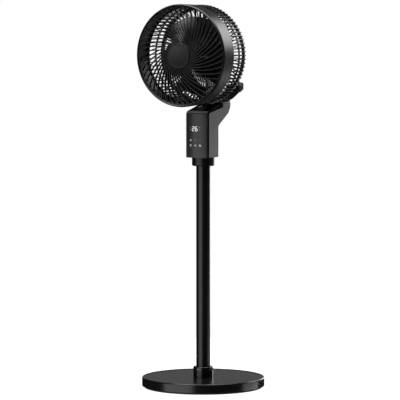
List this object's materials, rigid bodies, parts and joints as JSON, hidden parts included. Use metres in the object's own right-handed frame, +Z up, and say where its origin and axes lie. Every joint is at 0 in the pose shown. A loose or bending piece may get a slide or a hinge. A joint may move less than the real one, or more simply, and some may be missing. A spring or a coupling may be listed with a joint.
{
  "type": "pedestal fan",
  "caption": "Pedestal air circulator fan with a weighted round base, a pole, a touch control box and a swivelling, tilting round head with a spiral front grille.",
  "frame": {"origin": "on the floor under the pole's axis, at the centre of the base's underside", "axes": "+Z up along the pole; the fan blows towards -Y; +X is on the right of someone facing the fan's front"},
  "size_m": [0.305, 0.305, 0.953],
  "materials": {
    "black_satin": "satin moulded ABS",
    "black_gloss": "polished moulded ABS",
    "black_pole": "satin powder coat",
    "panel_grey": "dark smoked touch panel",
    "shell_grey": "fine-textured moulded ABS",
    "foot_rubber": "matt",
    "steel": "plain",
    "copper": null,
    "brass": "plain",
    "nylon": "natural nylon",
    "circuit_board": "green solder mask",
    "smoke_lens": "smoked"
  },
  "bodies": {
    "stand": {"foot_ring": "foot_rubber", "base_bottom": "black_satin", "base_weight": "steel", "base_cover": "black_gloss", "base_bolt": "steel", "base_collar": "black_gloss", "pole": "black_pole", "pole_foot_plug": "nylon", "pole_top_plug": "nylon", "lock_collar": "black_satin", "pole_socket": "black_satin", "rear_housing": "shell_grey", "front_cover": "black_gloss", "touch_panel": "panel_grey", "display_module": "nylon", "control_board": "circuit_board", "buzzer": "black_satin", "ir_receiver": "smoke_lens", "power_board": "circuit_board", "capacitor": "steel", "power_coil": "copper", "power_inlet": "black_satin", "housing_screw_1": "steel", "housing_screw_2": "steel", "housing_screw_3": "steel", "housing_screw_4": "steel", "swivel_bush": "nylon", "swivel_motor": "steel"},
    "swivel_pinion": {"swivel_pinion": "brass"},
    "yoke": {"swivel_spigot": "steel", "swivel_gear": "nylon", "swivel_clip": "steel", "yoke": "black_satin", "yoke_cover": "black_satin", "tilt_motor": "steel", "pivot_pin_left": "steel", "pivot_pin_right": "steel", "pivot_cap_left": "black_satin", "pivot_cap_right": "black_satin"},
    "tilt_pinion": {"tilt_pinion": "brass"},
    "head": {"shroud": "black_satin", "front_grille": "black_satin", "hub_cap": "black_satin", "rear_grille": "black_satin", "pivot_bracket_left": "black_satin", "pivot_bracket_right": "black_satin", "tilt_sector": "nylon", "motor_cover": "black_satin", "motor_stator": "copper", "motor_bearing_front": "steel", "motor_bearing_rear": "steel", "motor_screw_1": "steel", "motor_screw_2": "steel", "motor_screw_3": "steel"},
    "impeller": {"impeller": "black_satin", "impeller_nut": "steel", "motor_shaft": "steel", "motor_rotor": "steel"}
  },
  "joints": [
    {"name": "head_swivel", "type": "hinge", "parent": "stand", "child": "yoke", "pos_m": [0, 0.06, 0.711], "axis": [0, 0, 1], "range_deg": [-45, 45]},
    {"name": "head_tilt", "type": "hinge", "parent": "yoke", "child": "head", "pos_m": [0, 0.027, 0.747], "axis": [-1, 0, 0], "range_deg": [-5, 80]},
    {"name": "impeller_spin", "type": "hinge", "parent": "head", "child": "impeller", "pos_m": [0, -0.05, 0.827], "axis": [0, -1, 0], "continuous": true},
    {"name": "swivel_pinion_spin", "type": "hinge", "parent": "stand", "child": "swivel_pinion", "pos_m": [0, 0.042, 0.6905], "axis": [0, 0, 1], "range_deg": [-91, 91]},
    {"name": "tilt_pinion_spin", "type": "hinge", "parent": "yoke", "child": "tilt_pinion", "pos_m": [0, 0.042, 0.72102], "axis": [-1, 0, 0], "range_deg": [-321, 21]}
  ],
  "couplings": [
    {"joint": "swivel_pinion_spin", "follows": "head_swivel", "ratio": -2},
    {"joint": "tilt_pinion_spin", "follows": "head_tilt", "ratio": -4}
  ]
}
